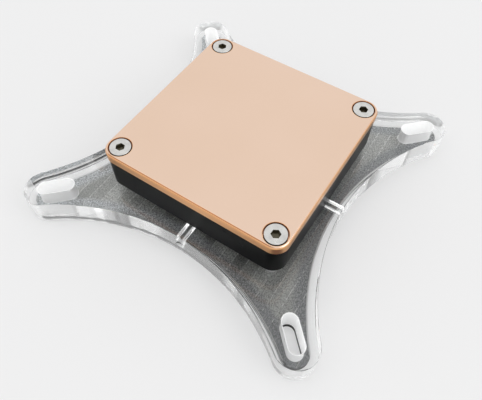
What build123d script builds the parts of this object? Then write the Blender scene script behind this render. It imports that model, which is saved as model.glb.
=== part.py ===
from build123d import *
from math import sqrt
import os

# A processor water block with a four-armed clear bracket, lying on its port side.
# All sizes are in millimetres. The origin is the centre of the underside, +Z points
# from the table to the cold plate's polished face, and X and Y run along its sides.

# Copper cold plate
base_side = 56.0
base_thick = 3.0
base_edge_round = 0.7
base_lower_break = 0.25

# Fins on the wet side of the cold plate
fin_length = 24.0
fin_field = 27.5
fin_thick = 0.5
fin_gap = 0.5
fin_height = 2.5

# Black body: a square flange with an island that carries the two ports
body_inset = 0.15
body_corner = 4.2
body_thick = 9.3
port_spacing = 24.0
island_wall = 4.1
fin_tip_clearance = 0.1
fin_side_clearance = 0.25
plenum_width = 8.0
plenum_depth = 3.5
passage_bore = 7.0

# Ports, cut for a G 1/4 pipe thread
port_bore = 11.8
port_depth = 9.0
port_chamfer = 0.8

# Sealing ring between the body and the cold plate
seal_wall = 1.5
seal_groove_width = 2.0
seal_groove_depth = 1.3
seal_clearance = 0.1
seal_corner = 3.0

# Low-head M3 socket screws that hold the stack together, one in each corner
screw_thread = 3.0
screw_clearance = 0.4
screw_end_gap = 0.2
head_diameter = 6.0
head_height = 1.5
head_chamfer = 0.15
head_bore_clearance = 0.6
head_bore_rim = 0.7
head_recess = 0.05
hex_flats = 2.3
hex_depth = 1.1
screw_turns = (0, 0, 30, 30)

# Clear bracket and the metal plate under it
bracket_thick = 8.0
bracket_edge_break = 0.2
plate_thick = 1.5
plate_inset = 2.0
arm_reach = 57.2
arm_end_radius = 5.8
waist = 32.5
slot_width = 4.1
slot_inner = 51.2
window_clearance = 0.3

# Blind bores for 3 mm lamps, one in the middle of each side of the bracket
lamp_bore = 3.0
lamp_bore_depth = 8.0

# Heights of the stack, measured from the table
plate_top = plate_thick
bracket_top = plate_top + bracket_thick
body_top = bracket_top + body_thick
block_top = body_top + base_thick
lamp_height = plate_top + bracket_thick / 2

# Sizes that follow from the ones above
head_bore = head_diameter + head_bore_clearance
screw_inset = head_bore / 2 + head_bore_rim
screw_spacing = base_side - 2 * screw_inset
base_corner = screw_inset
body_side = base_side - 2 * body_inset
island_width = port_bore + 2 * island_wall
island_length = port_spacing + island_width
fin_pitch = fin_thick + fin_gap
fin_count = int((fin_field + fin_gap) / fin_pitch + 1e-6)
cavity_depth = fin_height + fin_tip_clearance
cavity_length = port_spacing + plenum_width
cavity_width = fin_count * fin_pitch - fin_gap + 2 * fin_side_clearance
groove_offset = seal_wall + seal_groove_width / 2
clear_hole = screw_thread + screw_clearance
head_seat = block_top - head_recess - head_height


def at_screws(shape):
    """The same shape at each of the four base screws."""
    return [place * shape for place in GridLocations(screw_spacing, screw_spacing, 2, 2)]


def at_ports(shape):
    """The same shape on the axis of each port."""
    return [place * shape for place in GridLocations(port_spacing, 1, 2, 1)]


def upright(diameter, low, high):
    """A vertical cylinder between two heights."""
    rod = Cylinder(diameter / 2, high - low, align=(Align.CENTER, Align.CENTER, Align.MIN))
    return Pos(0, 0, low) * rod


def slab(face, low, high):
    """A flat outline raised between two heights."""
    return Pos(0, 0, low) * extrude(face, high - low)


def bracket_outline(inset):
    """Four round arm ends joined by concave sides, each side one arc tangent to both ends."""
    end = arm_reach / sqrt(2)
    radius = arm_end_radius - inset
    middle = waist - inset
    side_radius = (end**2 + (end - middle) ** 2 - radius**2) / (2 * (end - middle + radius))
    end_centre = Vector(end, end)
    start = end_centre + (Vector(middle + side_radius, 0) - end_centre).normalized() * radius
    finish = Vector(start.Y, start.X)
    tip = end_centre + Vector(1, 1).normalized() * radius
    next_start = Vector(-start.Y, start.X)
    arm = [
        ThreePointArc(start, tip, finish),
        ThreePointArc(finish, Vector(0, middle), next_start),
    ]
    edges = [edge.rotate(Axis.Z, 90 * turn) for turn in range(4) for edge in arm]
    return make_face(edges)


def arm_slots():
    """One slot along each arm, ending on the centre of the arm's round end."""
    length = arm_reach - slot_inner
    slot = Pos((arm_reach + slot_inner) / 2, 0) * SlotCenterToCenter(length, slot_width)
    return Sketch() + [Rot(0, 0, 45 + 90 * turn) * slot for turn in range(4)]


def island_outline(clearance):
    """The port island seen from below, or the window that it passes through."""
    return SlotOverall(island_length + 2 * clearance, island_width + 2 * clearance)


def cavity_outline(offset, corner):
    """The wet chamber's outline, grown by an offset."""
    return RectangleRounded(cavity_length + 2 * offset, cavity_width + 2 * offset, corner)


def ring_outline(width):
    """A band that follows the seal's centre line."""
    half = width / 2
    outer = cavity_outline(groove_offset + half, seal_corner + half)
    return outer - cavity_outline(groove_offset - half, seal_corner - half)


def fins():
    """The field of parallel fins that hangs from the cold plate into the chamber."""
    rows = GridLocations(1, fin_pitch, 1, fin_count)
    field = Sketch() + [place * Rectangle(fin_length, fin_thick) for place in rows]
    return slab(field, body_top - fin_height, body_top)


def cold_plate():
    plate = slab(RectangleRounded(base_side, base_side, base_corner), body_top, block_top)
    plate = fillet(plate.faces().sort_by(Axis.Z)[-1].edges(), base_edge_round)
    plate = chamfer(plate.faces().sort_by(Axis.Z)[0].edges(), base_lower_break)
    plate -= at_screws(upright(head_bore, head_seat, block_top))
    plate -= at_screws(upright(clear_hole, body_top, head_seat))
    return plate + fins()


def body():
    flange = slab(RectangleRounded(body_side, body_side, body_corner), bracket_top, body_top)
    block = flange + slab(island_outline(0), 0, bracket_top)
    block -= at_screws(upright(clear_hole, bracket_top, body_top))

    ceiling = body_top - cavity_depth
    plenum_floor = ceiling - plenum_depth
    plenum = Rot(0, 0, 90) * SlotOverall(cavity_width, plenum_width)
    block -= slab(cavity_outline(0, seal_corner - 1), ceiling, body_top)
    block -= at_ports(slab(plenum, plenum_floor, ceiling))
    block -= slab(ring_outline(seal_groove_width), body_top - seal_groove_depth, body_top)

    mouth = Cone(port_bore / 2 + port_chamfer, port_bore / 2, port_chamfer)
    block -= at_ports(upright(passage_bore, port_depth, plenum_floor))
    block -= at_ports(upright(port_bore, 0, port_depth))
    block -= at_ports(Pos(0, 0, port_chamfer / 2) * mouth)
    return block


def seal_ring():
    width = seal_groove_width - 2 * seal_clearance
    return slab(ring_outline(width), body_top - seal_groove_depth, body_top)


def base_screws():
    head = upright(head_diameter, head_seat, head_seat + head_height)
    head = chamfer(head.edges().sort_by(Axis.Z)[-1], head_chamfer)
    shank = upright(screw_thread, screw_end_gap, head_seat)
    socket = RegularPolygon(hex_flats / 2, 6, major_radius=False)
    top = head_seat + head_height
    screw = head + shank - slab(socket, top - hex_depth, top)
    turned = [Rot(0, 0, turn) * screw for turn in screw_turns]
    places = GridLocations(screw_spacing, screw_spacing, 2, 2)
    return Compound(children=[place * each for place, each in zip(places, turned)])


def lamp_bores():
    """Horizontal drilled holes, square to each side at half the bracket's thickness."""
    beyond = 2 * lamp_bore
    drill = Rot(0, 90, 0) * upright(lamp_bore, waist - lamp_bore_depth, waist + beyond)
    return [Pos(0, 0, lamp_height) * Rot(0, 0, 90 * turn) * drill for turn in range(4)]


def clear_bracket():
    bracket = slab(bracket_outline(0), plate_top, bracket_top)
    bracket = chamfer(bracket.faces().sort_by(Axis.Z)[-1].edges(), bracket_edge_break)
    bracket -= slab(arm_slots(), plate_top, bracket_top)
    bracket -= slab(island_outline(window_clearance), plate_top, bracket_top)
    bracket -= at_screws(upright(clear_hole, plate_top, bracket_top))
    bracket -= lamp_bores()
    return bracket


def metal_plate():
    plate = slab(bracket_outline(plate_inset), 0, plate_top)
    plate -= slab(arm_slots(), 0, plate_top)
    plate -= slab(island_outline(window_clearance), 0, plate_top)
    plate -= at_screws(upright(screw_thread, 0, plate_top))
    return plate


pieces = {
    "cold_plate": cold_plate,
    "seal_ring": seal_ring,
    "body": body,
    "base_screws": base_screws,
    "clear_bracket": clear_bracket,
    "metal_plate": metal_plate,
}

os.makedirs("parts", exist_ok=True)
for name, make in pieces.items():
    export_step(make(), f"parts/{name}.step")
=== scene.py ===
from math import atan2, cos, pi, radians, sin
from random import Random

import bmesh
import bpy
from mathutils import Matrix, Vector


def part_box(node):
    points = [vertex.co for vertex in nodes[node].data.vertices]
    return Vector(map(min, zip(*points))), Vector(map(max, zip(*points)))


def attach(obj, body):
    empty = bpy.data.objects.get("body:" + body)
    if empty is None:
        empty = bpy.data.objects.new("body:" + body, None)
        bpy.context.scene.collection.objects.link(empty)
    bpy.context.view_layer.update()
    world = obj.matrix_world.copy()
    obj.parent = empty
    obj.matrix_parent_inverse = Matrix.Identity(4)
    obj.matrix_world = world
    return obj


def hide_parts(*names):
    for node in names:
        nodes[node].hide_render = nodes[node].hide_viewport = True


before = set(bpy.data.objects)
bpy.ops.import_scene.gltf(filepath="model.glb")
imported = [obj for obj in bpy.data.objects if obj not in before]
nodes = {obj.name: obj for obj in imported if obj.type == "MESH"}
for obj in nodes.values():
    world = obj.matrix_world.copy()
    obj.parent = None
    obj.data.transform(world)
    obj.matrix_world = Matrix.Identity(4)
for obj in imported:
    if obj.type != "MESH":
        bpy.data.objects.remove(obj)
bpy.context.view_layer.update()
print("frame loaded with", len(nodes), "nodes")

# sizes are in metres, except the lens and its sensor, which are in millimetres
viewCamera = {
    "place": (0.04783671, -0.07746121, 0.12421965),
    "turn": (33.320505, -0.520262, 33.063318),  # degrees
    "lens": 37.142,
    "sensor": 36,
    "clip": (0.005, 20),
    "bounces": (40, 24, 24),  # in all, glossy and clear: light caught in the sheet turns many times
}

lens = bpy.data.cameras.new("photoCamera")
lens.lens = viewCamera["lens"]
lens.sensor_width = viewCamera["sensor"]
lens.clip_start, lens.clip_end = viewCamera["clip"]
camera = bpy.data.objects.new("photoCamera", lens)
camera.location = viewCamera["place"]
camera.rotation_euler = [radians(angle) for angle in viewCamera["turn"]]
bpy.context.scene.collection.objects.link(camera)
bpy.context.scene.camera = camera
bpy.context.scene.view_settings.view_transform = "Standard"
paths = bpy.context.scene.cycles
paths.max_bounces, paths.glossy_bounces, paths.transmission_bounces = viewCamera["bounces"]
print("camera placed")


# shader tree helpers
def fill(tree, node, inputs):
    # sockets are linked, anything else is set as a value
    for key, value in inputs.items():
        if isinstance(value, bpy.types.NodeSocket):
            tree.links.new(value, node.inputs[key])
        else:
            node.inputs[key].default_value = value


def put(tree, kind, inputs=None, **settings):
    node = tree.nodes.new("ShaderNode" + kind)
    for key, value in settings.items():
        setattr(node, key, value)
    fill(tree, node, inputs or {})
    return node


def calc(tree, operation, *values):
    return put(tree, "Math", dict(enumerate(values)), operation=operation).outputs[0]


def vectorCalc(tree, operation, *values):
    # gives a vector, or a number where the operation has one as its result
    node = put(tree, "VectorMath", dict(enumerate(values)), operation=operation)
    return node.outputs["Value" if operation in ("DOT_PRODUCT", "DISTANCE") else "Vector"]


def ramp(tree, value, start, end, first=0.0, last=1.0, **settings):
    # goes from first at start to last at end, and is even beyond both
    limits = {"Value": value, "From Min": start, "From Max": end, "To Min": first, "To Max": last}
    return put(tree, "MapRange", limits, **settings).outputs[0]


def spread(tree, value, low, high):
    return ramp(tree, value, 0.0, 1.0, low, high)


def blendValue(tree, share, first, second):
    return put(tree, "Mix", {0: share, 2: first, 3: second}).outputs[0]


def blendColour(tree, share, first, second):
    colours = [
        value if isinstance(value, bpy.types.NodeSocket) else (*value, 1) for value in (first, second)
    ]
    # a Mix node's sockets for colour are 6 and 7, and 2 on its way out
    return put(tree, "Mix", {0: share, 6: colours[0], 7: colours[1]}, data_type="RGBA").outputs[2]


def brighten(tree, colour, factor):
    return put(tree, "VectorMath", {0: colour, "Scale": factor}, operation="SCALE").outputs[0]


def bumped(tree, height, strength, depth):
    return put(tree, "Bump", {"Strength": strength, "Distance": depth, "Height": height}).outputs[0]


def objectPlace(tree):
    return put(tree, "TexCoord").outputs["Object"]


def heightIn(tree):
    return put(tree, "SeparateXYZ", {0: objectPlace(tree)}).outputs["Z"]


def foldedPlace(tree):
    # seen from above, with the four quarters laid over each other
    flat = vectorCalc(tree, "MULTIPLY", objectPlace(tree), (1, 1, 0))
    return vectorCalc(tree, "ABSOLUTE", flat)


def newGroup(name, inputs, outputs):
    tree = bpy.data.node_groups.new(name, "ShaderNodeTree")
    kinds = {"number": "NodeSocketFloat", "vector": "NodeSocketVector"}
    for label, kind, value in inputs:
        socket = tree.interface.new_socket(label, in_out="INPUT", socket_type=kinds[kind])
        socket.default_value = value
    for label, kind in outputs:
        tree.interface.new_socket(label, in_out="OUTPUT", socket_type=kinds[kind])
    return tree, tree.nodes.new("NodeGroupInput").outputs, tree.nodes.new("NodeGroupOutput").inputs


def useGroup(tree, group, **values):
    node = tree.nodes.new("ShaderNodeGroup")
    node.node_tree = group
    fill(tree, node, {key.capitalize(): value for key, value in values.items()})
    return node.outputs[0]


# how much of its width each mask takes up before it fades
maskCore = {"speck": 0.5, "rim": 0.7, "contour": 0.6}


def makeGrain():
    # stretched noise, for brushing, milling marks and soft mottling
    tree, given, result = newGroup(
        "grain",
        [("Stretch", "vector", (1, 1, 1)), ("Detail", "number", 3), ("Contrast", "number", 0.2)],
        [("Value", "number")],
    )
    place = vectorCalc(tree, "MULTIPLY", objectPlace(tree), given["Stretch"])
    noise = put(tree, "TexNoise", {"Vector": place, "Scale": 1.0, "Detail": given["Detail"]})
    low = calc(tree, "SUBTRACT", 0.5, given["Contrast"])
    high = calc(tree, "ADD", 0.5, given["Contrast"])
    tree.links.new(ramp(tree, noise.outputs[0], low, high), result["Value"])
    return tree


def makeFacing():
    # one where the surface faces a direction, falling to zero as it turns away
    tree, given, result = newGroup(
        "facing",
        [("Direction", "vector", (0, 0, 1)), ("Start", "number", 0.5), ("Full", "number", 0.9)],
        [("Mask", "number")],
    )
    normal = put(tree, "TexCoord").outputs["Normal"]
    turned = vectorCalc(tree, "DOT_PRODUCT", normal, given["Direction"])
    mask = ramp(tree, turned, given["Start"], given["Full"], interpolation_type="SMOOTHSTEP")
    tree.links.new(mask, result["Mask"])
    return tree


def makeSpecks():
    # small scattered dots
    tree, given, result = newGroup(
        "specks",
        [("Stretch", "vector", (1, 1, 1)), ("Size", "number", 0.1)],
        [("Mask", "number")],
    )
    place = vectorCalc(tree, "MULTIPLY", objectPlace(tree), given["Stretch"])
    cells = put(tree, "TexVoronoi", {"Vector": place, "Scale": 1.0})
    core = calc(tree, "MULTIPLY", given["Size"], maskCore["speck"])
    tree.links.new(ramp(tree, cells.outputs["Distance"], given["Size"], core), result["Mask"])
    return tree


def makeHoleRim():
    # full inside four round holes that lie alike in the four quarters, and a little past them
    tree, given, result = newGroup(
        "holeRim",
        [
            ("Centre", "vector", (0.02, 0.02, 0)),
            ("Radius", "number", 0.003),
            ("Width", "number", 0.0001),
        ],
        [("Mask", "number")],
    )
    away = vectorCalc(tree, "DISTANCE", foldedPlace(tree), given["Centre"])
    beyond = calc(tree, "SUBTRACT", away, given["Radius"])
    core = calc(tree, "MULTIPLY", given["Width"], maskCore["rim"])
    tree.links.new(ramp(tree, beyond, given["Width"], core), result["Mask"])
    return tree


def makePasses():
    # parallel tool passes along Y: an even tone for each pass and a thin seam between two
    tree, given, result = newGroup(
        "toolPasses",
        [("Pitch", "number", 0.004), ("Offset", "number", 0.0), ("Width", "number", 0.05)],
        [("Tone", "number"), ("Seam", "number")],
    )
    across = put(tree, "SeparateXYZ", {0: objectPlace(tree)}).outputs["X"]
    moved = calc(tree, "SUBTRACT", across, given["Offset"])
    count = calc(tree, "DIVIDE", moved, given["Pitch"])
    tone = put(tree, "TexWhiteNoise", {"W": calc(tree, "FLOOR", count)}, noise_dimensions="1D")
    tree.links.new(tone.outputs["Value"], result["Tone"])
    near = calc(tree, "PINGPONG", count, 0.5)
    tree.links.new(ramp(tree, near, given["Width"], 0.0), result["Seam"])
    return tree


def makeContour():
    # a band of even width along the four concave sides
    tree, given, result = newGroup(
        "contourBand",
        [("Far", "number", 0.09), ("Radius", "number", 0.058), ("Width", "number", 0.003)],
        [("Mask", "number")],
    )
    folded = foldedPlace(tree)
    reaches = []
    for axis in ("X", "Y"):
        centre = put(tree, "CombineXYZ", {axis: given["Far"]}).outputs[0]
        reaches.append(vectorCalc(tree, "DISTANCE", folded, centre))
    inside = calc(tree, "SUBTRACT", calc(tree, "MINIMUM", *reaches), given["Radius"])
    core = calc(tree, "MULTIPLY", given["Width"], maskCore["contour"])
    tree.links.new(ramp(tree, inside, given["Width"], core), result["Mask"])
    return tree


grain = makeGrain()
facing = makeFacing()
specks = makeSpecks()
holeRim = makeHoleRim()
toolPasses = makePasses()
contourBand = makeContour()


def newFinish(name):
    material = bpy.data.materials.new(name)
    material.use_nodes = True
    tree = material.node_tree
    return material, tree, tree.nodes["Principled BSDF"]


def dress(node, material):
    for slot in nodes[node].material_slots:
        slot.material = material


# mesh and object helpers
def keepMesh(mesh, name):
    # turns all faces outwards and hands the mesh over
    bmesh.ops.recalc_face_normals(mesh, faces=mesh.faces)
    data = bpy.data.meshes.new(name)
    mesh.to_mesh(data)
    mesh.free()
    return data


def addObject(name, data):
    item = bpy.data.objects.new(name, data)
    bpy.context.scene.collection.objects.link(item)
    return item


print("shader groups built")

# copper cold plate
copperPlate = {
    "topColour": (0.90, 0.675, 0.535),
    "topShade": (0.865, 0.64, 0.495),
    "sideColour": (0.80, 0.42, 0.19),
    # painted highlight: a bright rim on the top face round each screw bore
    "rimHighlightColour": (0.95, 0.62, 0.4),
    "rimHighlightWidth": 0.00014,
    "bore": (0.024, 0.0033),  # how far out a screw's axis lies along X and Y, and the bore's radius
    "boreBlur": 0.00002,
    "boreLitLip": (0.8, 0.3, 0.11),
    "boreShade": (0.3, 0.1, 0.04),
    "boreDepths": (0.0006, 0.00025),  # painted shade: fully shaded, and still lit, below the top face
    "top": {"direction": (0, 0, 1), "start": 0.55, "full": 0.98},
    "darkReflectionColour": (0.42, 0.17, 0.06),  # painted dark reflection along the front part of the rounded edge
    "darkReflection": {"direction": (0, -0.5, 0.866), "start": 0.97, "full": 0.995},
    "cornerShadeColour": (0.5, 0.2, 0.1),
    "cornerShade": {"direction": (0.6, -0.8, -0.15), "start": 0.9, "full": 1.02},  # painted shade on the rounded side at the front corner
    "cloud": {"stretch": (28, 28, 28), "detail": 2.0, "contrast": 0.25},
    "lapping": {"stretch": (900, 900, 900), "detail": 3.0, "contrast": 0.2},
    "topRoughness": (0.16, 0.24),
    "sideRoughness": 0.3,
    "bump": (0.02, 0.0001),  # strength and depth
}


def copperFinish(values, height):
    material, tree, shader = newFinish("lappedCopper")
    lapping = useGroup(tree, grain, **values["lapping"])
    onTop = useGroup(tree, facing, **values["top"])
    cornerShadeMask = useGroup(tree, facing, **values["cornerShade"])
    darkReflectionMask = useGroup(tree, facing, **values["darkReflection"])

    cloud = useGroup(tree, grain, **values["cloud"])
    lapped = blendColour(tree, cloud, values["topShade"], values["topColour"])
    axis, bore = values["bore"]
    # painted highlight round each screw bore on the top face
    rim = useGroup(tree, holeRim, centre=(axis, axis, 0), radius=bore, width=values["rimHighlightWidth"])
    top = blendColour(tree, rim, lapped, values["rimHighlightColour"])

    # painted shade down each screw bore's wall, with a painted lit lip at its top
    bored = useGroup(tree, holeRim, centre=(axis, axis, 0), radius=bore, width=values["boreBlur"])
    dark, lit = [height - depth for depth in values["boreDepths"]]
    high = ramp(tree, heightIn(tree), dark, lit)
    wall = blendColour(tree, high, values["boreShade"], values["boreLitLip"])
    side = blendColour(tree, bored, values["sideColour"], wall)

    beforeCornerShade = blendColour(tree, onTop, side, top)
    # painted shade darkens the rounded side at the front corner
    worn = blendColour(tree, cornerShadeMask, beforeCornerShade, values["cornerShadeColour"])
    litLipMask = calc(tree, "MULTIPLY", bored, high)
    rough = spread(tree, lapping, *values["topRoughness"])
    looks = {
        "Base Color": blendColour(tree, darkReflectionMask, worn, values["darkReflectionColour"]),
        "Roughness": blendValue(tree, onTop, values["sideRoughness"], rough),
        "Metallic": spread(tree, litLipMask, 1, 0),
        "Normal": bumped(tree, lapping, *values["bump"]),
    }
    fill(tree, shader, looks)
    return material


dress("cold_plate", copperFinish(copperPlate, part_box("cold_plate")[1].z))
print("cold plate dressed")

# black body with its ports
blackBody = {
    "colour": (0.0026, 0.0027, 0.0028),
    "paler": (0.0036, 0.0037, 0.0038),
    "cloud": {"stretch": (150, 150, 150), "detail": 2.0, "contrast": 0.2},
    "mill": {"stretch": (160, 160, 1800), "detail": 2.0, "contrast": 0.3},
    "roughness": (0.27, 0.3),
    "gloss": 0.05,  # low, as the photograph shows hardly any reflection on it
    "bump": (0.002, 0.0001),  # strength and depth
}


def bodyFinish(values):
    material, tree, shader = newFinish("blackAcetal")
    mill = useGroup(tree, grain, **values["mill"])
    cloud = useGroup(tree, grain, **values["cloud"])
    looks = {
        "Base Color": blendColour(tree, cloud, values["colour"], values["paler"]),
        "Roughness": spread(tree, mill, *values["roughness"]),
        "Specular IOR Level": values["gloss"],
        "Normal": bumped(tree, mill, *values["bump"]),
    }
    fill(tree, shader, looks)
    return material


acetal = bodyFinish(blackBody)
dress("body", acetal)

portThread = {
    "bore": 0.0059,
    "ridge": 0.00022,
    "root": 0.00004,  # how far the thread's foot is set into the wall
    "pitch": 0.001337,
    "fill": 0.92,  # how much of the pitch the ridge's foot takes up
    "crest": 0.07,  # half the crest's width, where the foot's is a half
    "low": 0.0010,
    "high": 0.0088,
    "steps": 64,  # in one turn
    "fadeSteps": 24,  # over which both ends run out
    "ports": {"portThreadLeft": -0.012, "portThreadRight": 0.012},  # where they lie along X
}


def threadMesh(values, name):
    mesh = bmesh.new()
    pitch, steps = values["pitch"], values["steps"]
    turns = (values["high"] - values["low"] - pitch) / pitch
    count = int(turns * steps)
    ridge, root, crest = values["ridge"], values["root"], values["crest"]
    profile = ((root, -0.5), (-ridge, -crest), (-ridge, crest), (root, 0.5))
    rings = []
    for index in range(count + 1):
        angle = 2 * pi * index / steps
        height = values["low"] + pitch * (0.5 + index / steps)
        fade = min(1, index / values["fadeSteps"], (count - index) / values["fadeSteps"])
        ring = []
        for inward, along in profile:
            radius = values["bore"] + max(inward * fade, inward)
            level = height + along * pitch * values["fill"]
            ring.append(mesh.verts.new((radius * cos(angle), radius * sin(angle), level)))
        rings.append(ring)
    for last, ring in zip(rings, rings[1:]):
        for here in range(len(profile)):
            there = (here + 1) % len(profile)
            mesh.faces.new((last[here], ring[here], ring[there], last[there]))
    mesh.faces.new(rings[0])
    mesh.faces.new(rings[-1])
    return keepMesh(mesh, name)


for name, across in portThread["ports"].items():
    piece = addObject(name, threadMesh(portThread, name))
    piece.location = (across, 0, 0)
    piece.data.materials.append(acetal)
    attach(piece, "root")
print("body dressed and ports threaded")

# steel screws
baseScrew = {
    "colour": (0.78, 0.775, 0.75),
    "worn": (0.66, 0.655, 0.635),
    # painted shade inside the hex socket
    "socket": (0.11, 0.1, 0.072),
    "socketShadeDepths": (0.0005, 0.00016),  # painted shade: fully dark, and still bright, below the head's top
    "shankDepths": (0.0018, 0.002),  # where the shank below the head turns bright again
    "gap": (0.02, 0.014, 0.01),  # the head's side, in the shade of the counterbore
    "axis": 0.024,  # how far out a screw's axis lies along X and Y
    "shaded": (0.0028, 0.0001),  # radius past which the head's side is in shade, and the blur
    "spots": {"stretch": (700, 700, 700), "detail": 3.0, "contrast": 0.2},
    "roughness": (0.2, 0.3),
}


def screwFinish(values, top):
    material, tree, shader = newFinish("screwSteel")
    spots = useGroup(tree, grain, **values["spots"])
    steel = blendColour(tree, spots, values["worn"], values["colour"])
    height = heightIn(tree)
    # painted shade in the hex socket, by height below the head's top
    head, shank = [
        ramp(tree, height, *[top - depth for depth in values[depths]])
        for depths in ("socketShadeDepths", "shankDepths")
    ]
    lit = blendColour(tree, calc(tree, "MAXIMUM", head, shank), values["socket"], steel)
    axis, (radius, blur) = values["axis"], values["shaded"]
    seen = useGroup(tree, holeRim, centre=(axis, axis, 0), radius=radius, width=blur)
    looks = {
        "Base Color": blendColour(tree, seen, values["gap"], lit),
        "Roughness": spread(tree, spots, *values["roughness"]),
        "Metallic": 1,
    }
    fill(tree, shader, looks)
    return material


dress("base_screws", screwFinish(baseScrew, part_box("base_screws")[1].z))
print("screws dressed")

# clear bracket and the metal plate under it
clearSheet = {
    "reach": 0.0572,  # centre of the block to the centre of an arm's round end
    "tip": 0.0058,  # radius of an arm's round end
    "waist": 0.0325,  # centre of the block to the middle of a concave side
    "slotInner": 0.0512,
    "slotWidth": 0.0041,
    "window": (0.0446, 0.0206),
    "screwHole": 0.0034,
    "screwSpacing": 0.048,
    "boreWidth": 0.003,
    "boreDepth": 0.008,
    "drillPast": 0.004,  # how far the drill stands out of the side
    "edge": 0.0002,  # radius of the rounded edges
    "airGap": 0.00003,  # to the pieces above and below
    "steps": {"tip": 56, "side": 72, "slot": 24, "window": 32, "hole": 40, "bore": 48, "edge": 3},
    "smoothAngle": 12,  # degrees
    "colour": (0.985, 0.99, 0.99),
    "index": 1.49,
    "smudge": {"stretch": (150, 150, 150), "detail": 2.0, "contrast": 0.3},
    "faceRoughness": (0.0, 0.02),
    "faceFrom": (0.4, 0.7),  # a wall's roughness up to the first slope, a face's past the second
    "marks": {"stretch": (700, 700, 60), "detail": 2.0, "contrast": 0.25},  # upright, on walls
    "bumpDepth": 0.0001,
    "walls": {  # share is how much light goes through, where the rest is scattered, and glow is painted light that the wall gives off
        "clearAcrylic": {"roughness": (0.0, 0.04), "bump": 0.0, "share": 1.0, "glow": 0.0},
        "satinAcrylic": {"roughness": (0.01, 0.06), "bump": 0.0, "share": 0.85, "glow": 0.02},
        "sawnAcrylic": {"roughness": (0.2, 0.26), "bump": 0.01, "share": 0.75, "glow": 0.0},
        "slotAcrylic": {"roughness": (0.4, 0.6), "bump": 0.1, "share": 0.3, "glow": 0.14},
        "hazyAcrylic": {"roughness": (0.01, 0.06), "bump": 0.0, "share": 0.5, "glow": 0.22},
    },
    "outerGlow": 0.1,  # how much of the hazy walls' painted glow shows from outside the sheet
    "sawnSide": (0.53, -0.85, 0),  # the way that the walls with saw marks face, more or less
    "sawnLimits": (0.1, -0.5),  # walls that face it above the first are sawn, below the second clear
    "clearUpTo": 0.025,  # along Y, past which the far arm's walls are hazy instead of clear
    "edgeSlope": 0.1,  # where the outline's rounded edges begin, which are as clear as the faces
    "drill": {"stretch": (1500, 1500, 1500), "detail": 2.0, "contrast": 0.25},
    "boreRoughness": (0.02, 0.08),
    "boreShare": 0.98,
    "boreGlow": 0.42,
    "boreSlack": (0.00005, 0.0001),  # round and along a bore, in telling which faces are its wall
    "gleams": (  # where a bore's wall gleams with painted light, as it faces when seen from inside the sheet
        {"direction": (-0.82, 0.82, 0.57), "start": 0.78, "full": 0.87},
        {"direction": (0.97, -0.97, 0.26), "start": 0.966, "full": 0.985},
    ),
    "holeTurns": {"stretch": (300, 300, 2500), "detail": 2.0, "contrast": 0.2},
    "holeShade": (0.36, 0.36, 0.36),
    "holePaler": (0.72, 0.72, 0.72),
}


def sideArc(inset):
    # how far out a concave side's centre lies, and the side's radius, tangent to both arm ends
    end = clearSheet["reach"] / 2**0.5
    tip = clearSheet["tip"] - inset
    middle = clearSheet["waist"] - inset
    radius = (end**2 + (end - middle) ** 2 - tip**2) / (2 * (end - middle + tip))
    return middle + radius, radius


metalPlate = {
    "colour": (0.66, 0.665, 0.645),
    "darker": (0.19, 0.195, 0.185),
    "streak": {"stretch": (3300, 1900, 600), "detail": 4.0, "contrast": 0.11},
    "cloud": {"stretch": (110, 70, 90), "detail": 3.0, "contrast": 0.25},
    "cloudShare": 0.3,
    "passes": {"pitch": 0.0035, "offset": 0.0005, "width": 0.05},
    "passTone": (0.7, 1.28),
    "seamTone": 1.5,
    "speck": {"stretch": (1300, 900, 1300), "size": 0.5},
    "speckColour": (0.85, 0.85, 0.85),
    "inset": 0.002,
    "brinkHighlightWidth": 0.00045,  # painted highlight: bright line along the plate's outline
    "glare": (1.12, 0.78),  # painted light and shade: brighter in the middle, darker at the front arm, along glareWay
    "glareWay": (1, -1, 0),
    "glareReach": (0.0, 0.07),
    "bandWidth": 0.0042,  # band along the outline that reflects otherwise
    "bandTint": (0.53, 0.555, 0.59),
    "bandTintShare": 0.55,
    "bandGrain": (0.64, 1.36),
    "bandGlare": (1.12, 0.58),  # painted light and shade on the band, from left to right, along bandWay
    "bandWay": (1, -0.3, 0),
    "bandReach": (-0.012, 0.03),
    # cut edge: dark middle partly the cut's oxide and partly painted shade, painted reflection at the
    # foot, painted highlight at the top
    "sideTone": (0.003, 0.003, 0.003),
    "sideFootReflection": (0.35, 0.35, 0.35),
    "sideTopHighlight": (0.95, 0.95, 0.95),
    "footHeights": (0.0004, 0.0005),  # fully pale below the first, dark above the second
    "topHeights": (0.001, 0.00106),  # dark up to the first, bright above the second
    "faces": {"start": 0.3, "full": 0.8},
    "metal": 0.65,  # a dull oxide film takes up the rest
    "roughness": (0.45, 0.6),
    "bump": (0.1, 0.00005),  # strength and depth
}


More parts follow.
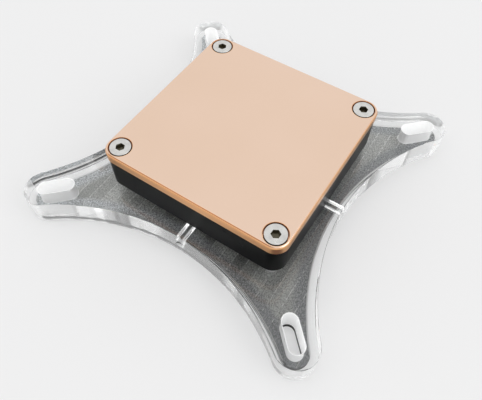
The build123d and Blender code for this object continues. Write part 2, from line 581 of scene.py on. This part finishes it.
def plateFinish(values):
    material, tree, shader = newFinish("milledPlate")
    place = objectPlace(tree)
    far, radius = sideArc(values["inset"])

    # tool passes with seams between them
    streaks = useGroup(tree, grain, **values["streak"])
    cloud = useGroup(tree, grain, **values["cloud"])
    mottle = blendValue(tree, values["cloudShare"], streaks, cloud)
    bare = blendColour(tree, mottle, values["darker"], values["colour"])
    tones = useGroup(tree, toolPasses, **values["passes"])
    seam = tones.node.outputs["Seam"]
    passTone = spread(tree, tones, *values["passTone"])
    milled = brighten(tree, bare, blendValue(tree, seam, passTone, values["seamTone"]))

    # bluish band along the outline, with painted light and shade from left to right
    rightward = vectorCalc(tree, "DOT_PRODUCT", place, values["bandWay"])
    bandGlare = ramp(tree, rightward, *values["bandReach"], *values["bandGlare"])
    bandGrain = spread(tree, streaks, *values["bandGrain"])
    tinted = blendColour(tree, values["bandTintShare"], bare, values["bandTint"])
    banded = brighten(tree, tinted, calc(tree, "MULTIPLY", bandGlare, bandGrain))
    band = useGroup(tree, contourBand, far=far, radius=radius, width=values["bandWidth"])
    whole = blendColour(tree, band, milled, banded)

    # bright specks in the seams, and a painted highlight along the outline
    dots = useGroup(tree, specks, **values["speck"])
    specked = blendColour(tree, calc(tree, "MULTIPLY", dots, seam), whole, values["speckColour"])
    brink = useGroup(tree, contourBand, far=far, radius=radius, width=values["brinkHighlightWidth"])
    rimmed = blendColour(tree, brink, specked, values["speckColour"])
    # painted light and shade across the plate's top
    frontward = vectorCalc(tree, "DOT_PRODUCT", place, values["glareWay"])
    glare = ramp(tree, frontward, *values["glareReach"], *values["glare"])
    face = brighten(tree, rimmed, glare)

    # cut edge: a painted pale reflection at the foot, a dark middle that is partly the cut's oxide
    # and partly painted shade, and a painted highlight at the top
    height = put(tree, "SeparateXYZ", {0: place}).outputs["Z"]
    foot = blendColour(tree, brink, values["sideTone"], values["sideFootReflection"])
    upper = ramp(tree, height, *values["footHeights"])
    lower = blendColour(tree, upper, foot, values["sideTone"])
    shiny = calc(tree, "MULTIPLY", ramp(tree, height, *values["topHeights"]), brink)
    side = blendColour(tree, shiny, lower, values["sideTopHighlight"])

    above, below = [
        useGroup(tree, facing, direction=(0, 0, way), **values["faces"]) for way in (1, -1)
    ]
    looks = {
        "Base Color": blendColour(tree, calc(tree, "MAXIMUM", above, below), side, face),
        "Roughness": spread(tree, streaks, *values["roughness"]),
        "Metallic": values["metal"],
        "Normal": bumped(tree, streaks, *values["bump"]),
    }
    fill(tree, shader, looks)
    return material


dress("metal_plate", plateFinish(metalPlate))
print("metal plate dressed")


# outlines of the clear bracket
def arcPoints(centre, radius, start, sweep, steps):
    angles = [start + sweep * step / steps for step in range(steps)]
    return [(centre[0] + radius * cos(a), centre[1] + radius * sin(a)) for a in angles]


def bracketLoop(inset):
    # four round arm ends, each side between them one arc tangent to both
    steps = clearSheet["steps"]
    end = clearSheet["reach"] / 2**0.5
    tip = clearSheet["tip"] - inset
    far, side = sideArc(inset)
    start = atan2(-end, far - end)
    turned = pi / 2 - start + pi
    points = []
    for turn in range(4):
        quarter = turn * pi / 2
        along = (end * 2**0.5 * cos(pi / 4 + quarter), end * 2**0.5 * sin(pi / 4 + quarter))
        points += arcPoints(along, tip, start + quarter, pi / 2 - 2 * start, steps["tip"])
        away = (far * cos(pi / 2 + quarter), far * sin(pi / 2 + quarter))
        points += arcPoints(away, side, turned + quarter, -(2 * turned - 3 * pi), steps["side"])
    return points


def roundedSlot(length, width, centre, turn, steps):
    # a slot with round ends, its length along the turned X axis
    half, radius = (length - width) / 2, width / 2
    points = arcPoints((half, 0), radius, -pi / 2, pi, steps)
    points += arcPoints((-half, 0), radius, pi / 2, pi, steps)
    return [
        (centre[0] + x * cos(turn) - y * sin(turn), centre[1] + x * sin(turn) + y * cos(turn))
        for x, y in points
    ]


def slotLoop(turn, grow):
    outer, inner, width = [clearSheet[key] for key in ("reach", "slotInner", "slotWidth")]
    middle = (outer + inner) / 2
    centre = (middle * cos(turn), middle * sin(turn))
    length = outer - inner + width + 2 * grow
    return roundedSlot(length, width + 2 * grow, centre, turn, clearSheet["steps"]["slot"])


def windowLoop(grow):
    length, width = clearSheet["window"]
    steps = clearSheet["steps"]["window"]
    return roundedSlot(length + 2 * grow, width + 2 * grow, (0, 0), 0, steps)


def holeLoop(x, y, grow):
    radius = clearSheet["screwHole"] / 2 + grow
    return arcPoints((x, y), radius, 0, 2 * pi, clearSheet["steps"]["hole"])


# the sheet's finishes, in the order of its material slots
sheetFinishes = (
    "clearAcrylic",
    "drilledAcrylic",
    "sawnAcrylic",
    "slotAcrylic",
    "hazyAcrylic",
    "satinAcrylic",
    "filledHole",
)


def addWall(mesh, loopAt, levels, finish):
    # a closed wall through several levels, giving back its lowest and highest edges
    rings = [[mesh.verts.new((x, y, z)) for x, y in loopAt(inset)] for inset, z in levels]
    for low, high in zip(rings, rings[1:]):
        for here in range(len(low)):
            there = (here + 1) % len(low)
            face = mesh.faces.new((low[here], low[there], high[there], high[here]))
            face.material_index = sheetFinishes.index(finish)
    ends = []
    for ring in (rings[0], rings[-1]):
        pairs = zip(ring, ring[1:] + ring[:1])
        ends.append([mesh.edges.get(pair) for pair in pairs])
    return ends


def edgeLevels(low, high, edge, steps):
    # insets and heights of a wall whose two ends are rounded over
    turns = [step * pi / 2 / steps for step in range(steps + 1)]
    bottom = [(edge * (1 - sin(a)), low + edge * (1 - cos(a))) for a in turns]
    return bottom + [(inset, low + high - z) for inset, z in reversed(bottom)]


def sheetMesh(name, low, high):
    mesh = bmesh.new()
    levels = edgeLevels(low, high, clearSheet["edge"], clearSheet["steps"]["edge"])
    half = clearSheet["screwSpacing"] / 2
    walls = [addWall(mesh, bracketLoop, levels, "sawnAcrylic")]
    for turn in range(4):
        diagonal = pi / 4 + turn * pi / 2
        walls.append(addWall(mesh, lambda inset: slotLoop(diagonal, inset), levels, "slotAcrylic"))
        hole = (half * (1 if turn in (0, 3) else -1), half * (1 if turn < 2 else -1))
        walls.append(addWall(mesh, lambda inset: holeLoop(*hole, inset), levels, "filledHole"))
    walls.append(addWall(mesh, windowLoop, levels, "clearAcrylic"))
    for side in (0, 1):
        rim = [edge for wall in walls for edge in wall[side]]
        bmesh.ops.triangle_fill(mesh, use_beauty=True, use_dissolve=False, edges=rim)
    return keepMesh(mesh, name)


def boreMesh(name, height):
    # the four lamp bores as one cutting shape
    mesh = bmesh.new()
    radius = clearSheet["boreWidth"] / 2
    waist, steps = clearSheet["waist"], clearSheet["steps"]["bore"]
    for turn in range(4):
        angle = turn * pi / 2
        rings = []
        for reach in (waist - clearSheet["boreDepth"], waist + clearSheet["drillPast"]):
            ring = []
            for step in range(steps):
                around = 2 * pi * step / steps
                across, up = radius * cos(around), radius * sin(around)
                x = reach * cos(angle) - across * sin(angle)
                y = reach * sin(angle) + across * cos(angle)
                ring.append(mesh.verts.new((x, y, height + up)))
            rings.append(ring)
        for here in range(steps):
            there = (here + 1) % steps
            mesh.faces.new((rings[0][here], rings[0][there], rings[1][there], rings[1][here]))
        mesh.faces.new(rings[0])
        mesh.faces.new(rings[1])
    return keepMesh(mesh, name)


def clearFinish(values, name):
    material, tree, shader = newFinish(name)
    wall = values["walls"][name]
    normal = put(tree, "TexCoord").outputs["Normal"]
    slope = calc(tree, "ABSOLUTE", put(tree, "SeparateXYZ", {0: normal}).outputs["Z"])
    flat = ramp(tree, slope, *values["faceFrom"])
    marks = useGroup(tree, grain, **values["marks"])
    height = calc(tree, "MULTIPLY", marks, calc(tree, "SUBTRACT", 1.0, flat))
    smudge = useGroup(tree, grain, **values["smudge"])
    smooth = spread(tree, smudge, *values["faceRoughness"])
    rough = spread(tree, marks, *wall["roughness"])
    glowColour = (1, 1, 1, 1)
    if name == "hazyAcrylic":  # its glow shows from inside the sheet
        inside = put(tree, "NewGeometry").outputs["Backfacing"]
        glowColour = blendColour(tree, inside, (values["outerGlow"],) * 3, (1, 1, 1))
    looks = {
        "Base Color": (*values["colour"], 1),
        "Roughness": blendValue(tree, flat, rough, smooth),
        "IOR": values["index"],
        "Transmission Weight": wall["share"],
        "Emission Color": glowColour,
        "Emission Strength": wall["glow"],
        "Normal": bumped(tree, height, wall["bump"], values["bumpDepth"]),
    }
    fill(tree, shader, looks)
    return material


def boreFinish(values, name):
    material, tree, shader = newFinish(name)
    rings = useGroup(tree, grain, **values["drill"])
    gleams = [useGroup(tree, facing, **gleam) for gleam in values["gleams"]]
    looks = {
        "Base Color": (*values["colour"], 1),
        "Roughness": spread(tree, rings, *values["boreRoughness"]),
        "IOR": values["index"],
        "Transmission Weight": values["boreShare"],
        "Emission Color": blendColour(tree, calc(tree, "MAXIMUM", *gleams), (0, 0, 0), (1, 1, 1)),
        "Emission Strength": values["boreGlow"],
    }
    fill(tree, shader, looks)
    return material


def holeFinish(values, name):
    # the screw holes' walls, painted grey with the shade of the shanks that fill them
    material, tree, shader = newFinish(name)
    turns = useGroup(tree, grain, **values["holeTurns"])
    colour = blendColour(tree, turns, values["holeShade"], values["holePaler"])
    fill(tree, shader, {"Base Color": colour})
    return material


def sheetFinish(values, name):
    special = {"drilledAcrylic": boreFinish, "filledHole": holeFinish}
    return special.get(name, clearFinish)(values, name)


def faceFinish(values, face, boreHeight):
    # the finish that a face of the bored sheet gets
    now = sheetFinishes[face.material_index]
    offset = face.center - Vector((0, 0, boreHeight))
    across, away = sorted((abs(offset.x), abs(offset.y)))
    roundSlack, endSlack = values["boreSlack"]
    mouth, end = values["waist"], values["waist"] - values["boreDepth"]
    nearBore = (across**2 + offset.z**2) ** 0.5 < values["boreWidth"] / 2 + roundSlack
    if nearBore and end - endSlack < away < mouth - endSlack:
        return "drilledAcrylic"
    if now != "sawnAcrylic":
        return now
    if abs(face.normal.z) > values["edgeSlope"]:
        return "clearAcrylic"
    sawnFrom, clearBelow = values["sawnLimits"]
    frontward = face.normal.dot(Vector(values["sawnSide"]))
    if frontward < sawnFrom:
        clear = frontward < clearBelow and face.center.y < values["clearUpTo"]
        return "clearAcrylic" if clear else "hazyAcrylic"
    return "satinAcrylic" if face.center.x > abs(face.center.y) else "sawnAcrylic"


sheetLow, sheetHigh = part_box("clear_bracket")
gap = clearSheet["airGap"]
sheetData = sheetMesh("clearSheet", sheetLow.z + gap, sheetHigh.z - gap)
for name in sheetFinishes:
    sheetData.materials.append(sheetFinish(clearSheet, name))
boreHeight = (sheetLow.z + sheetHigh.z) / 2
sheet = addObject("clearSheet", sheetData)
cutter = addObject("boreCutter", boreMesh("boreCutter", boreHeight))
cut = sheet.modifiers.new("bores", "BOOLEAN")
cut.operation = "DIFFERENCE"
cut.solver = "EXACT"
cut.object = cutter
bpy.context.view_layer.update()
bored = bpy.data.meshes.new_from_object(sheet.evaluated_get(bpy.context.evaluated_depsgraph_get()))
sheet.modifiers.clear()
sheet.data = bored
bpy.data.objects.remove(cutter)
bored.shade_smooth()
bored.set_sharp_from_angle(angle=radians(clearSheet["smoothAngle"]))
for face in bored.polygons:
    finish = faceFinish(clearSheet, face, boreHeight)
    face.material_index = sheetFinishes.index(finish)
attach(sheet, "root")
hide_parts("clear_bracket")
print("clear bracket built with", len(bored.polygons), "faces")

# uneven burr that stands up along the front edge of the metal plate
plateBurr = {
    # the burr's dark steel, painted near black with shade on its sides and a little lighter on top,
    # where it faces up
    "side": (0.003, 0.003, 0.003),
    "paler": (0.03, 0.03, 0.03),
    "top": (0.05, 0.05, 0.05),
    "spots": {"stretch": (2500, 2500, 2500), "detail": 2.0, "contrast": 0.3},
    "upward": {"direction": (0, 0, 1), "start": 0.3, "full": 0.7},
    "roughness": 0.6,
    "inset": 0.002,
    "width": 0.00008,
    "low": 0.00142,
    "high": (0.0019, 0.0025),
    "seed": 7,
    "past": 0.004,  # how far in front of the two front diagonals it starts
    "frontward": 0.4,  # how far the edge has to face the front, where straight on is one
}


def burrMesh(values, name):
    mesh = bmesh.new()
    chance = Random(values["seed"])
    outer, inner = bracketLoop(values["inset"]), bracketLoop(values["inset"] + values["width"])
    last = None
    for (x, y), (u, v) in zip(outer, inner):
        high = chance.uniform(*values["high"])
        if y > -abs(x) - values["past"] or y - v > -values["frontward"] * values["width"]:
            last = None
            continue
        corners = ((x, y, values["low"]), (x, y, high), (u, v, high), (u, v, values["low"]))
        row = [mesh.verts.new(corner) for corner in corners]
        if last:
            for here, there in ((0, 1), (1, 2), (2, 3), (3, 0)):
                mesh.faces.new((last[here], row[here], row[there], last[there]))
        last = row
    bmesh.ops.holes_fill(mesh, edges=mesh.edges, sides=4)
    return keepMesh(mesh, name)


def burrFinish(values, name):
    material, tree, shader = newFinish(name)
    spots = useGroup(tree, grain, **values["spots"])
    upward = useGroup(tree, facing, **values["upward"])
    # painted shade: near-black sides, lighter on top where it faces up
    side = blendColour(tree, spots, values["side"], values["paler"])
    looks = {
        "Base Color": blendColour(tree, upward, side, values["top"]),
        "Roughness": values["roughness"],
    }
    fill(tree, shader, looks)
    return material


burr = addObject("plateBurr", burrMesh(plateBurr, "plateBurr"))
burr.data.materials.append(burrFinish(plateBurr, "plateBurr"))
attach(burr, "root")
print("plate burr built")

# hidden seal
sealRing = {
    "colour": (0.012, 0.012, 0.012),
    "paler": (0.03, 0.03, 0.03),
    "dust": {"stretch": (900, 900, 900), "detail": 3.0, "contrast": 0.2},
    "roughness": (0.55, 0.75),
}


def sealFinish(values):
    material, tree, shader = newFinish("sealRubber")
    dust = useGroup(tree, grain, **values["dust"])
    looks = {
        "Base Color": blendColour(tree, dust, values["colour"], values["paler"]),
        "Roughness": spread(tree, dust, *values["roughness"]),
    }
    fill(tree, shader, looks)
    return material


dress("seal_ring", sealFinish(sealRing))
print("seal dressed")

# floor and light
table = {
    "side": 3.0,
    "drop": 0.00002,  # how far the floor lies below the block
    "colour": (0.84, 0.84, 0.842),
    "paler": (0.855, 0.855, 0.857),
    "cloud": {"stretch": (6, 6, 6), "detail": 2.0, "contrast": 0.3},
    "roughness": 0.8,
    "gloss": 0.1,
    "seenGlow": 0.5,  # how much of the floor's look is its plain colour, without shadow
}
softLight = {
    "world": 0.9,
    "panels": {
        "softPanel": {"power": 5.0, "side": 1.0, "place": (1.1, 0.1, 1.1)},
        "frontPanel": {"power": 1.0, "side": 0.6, "place": (-0.55, -0.65, 1.2)},
    },
}


def floorFinish(values):
    material, tree, shader = newFinish("paleFloor")
    cloud = useGroup(tree, grain, **values["cloud"])
    colour = blendColour(tree, cloud, values["colour"], values["paler"])
    looks = {
        "Base Color": colour,
        "Roughness": values["roughness"],
        "Specular IOR Level": values["gloss"],
    }
    fill(tree, shader, looks)
    rays = put(tree, "LightPath").outputs
    mirrored = calc(tree, "MAXIMUM", rays["Is Camera Ray"], rays["Is Glossy Ray"])
    seen = calc(tree, "MAXIMUM", mirrored, rays["Is Transmission Ray"])
    share = calc(tree, "MULTIPLY", seen, values["seenGlow"])
    glow = put(tree, "Emission", {"Color": colour, "Strength": 1.0}).outputs[0]
    mixed = put(tree, "MixShader", {0: share, 1: shader.outputs[0], 2: glow}).outputs[0]
    tree.links.new(mixed, tree.nodes["Material Output"].inputs["Surface"])
    return material


half = table["side"] / 2
corners = [(-half, -half, 0), (half, -half, 0), (half, half, 0), (-half, half, 0)]
floorMesh = bpy.data.meshes.new("floor")
floorMesh.from_pydata(corners, [], [(0, 1, 2, 3)])
floor = addObject("floor", floorMesh)
floor.location.z = -table["drop"]
floor.data.materials.append(floorFinish(table))

world = bpy.data.worlds.new("softRoom")
bpy.context.scene.world = world
world.use_nodes = True
background = world.node_tree.nodes["Background"].inputs
background["Color"].default_value = (1, 1, 1, 1)
background["Strength"].default_value = softLight["world"]

for name, values in softLight["panels"].items():
    light = bpy.data.lights.new(name, "AREA")
    light.shape = "SQUARE"
    light.size = values["side"]
    light.energy = values["power"]
    panel = addObject(name, light)
    panel.location = values["place"]
    panel.rotation_euler = (-Vector(values["place"])).to_track_quat("-Z", "Y").to_euler()
print("floor and light placed")
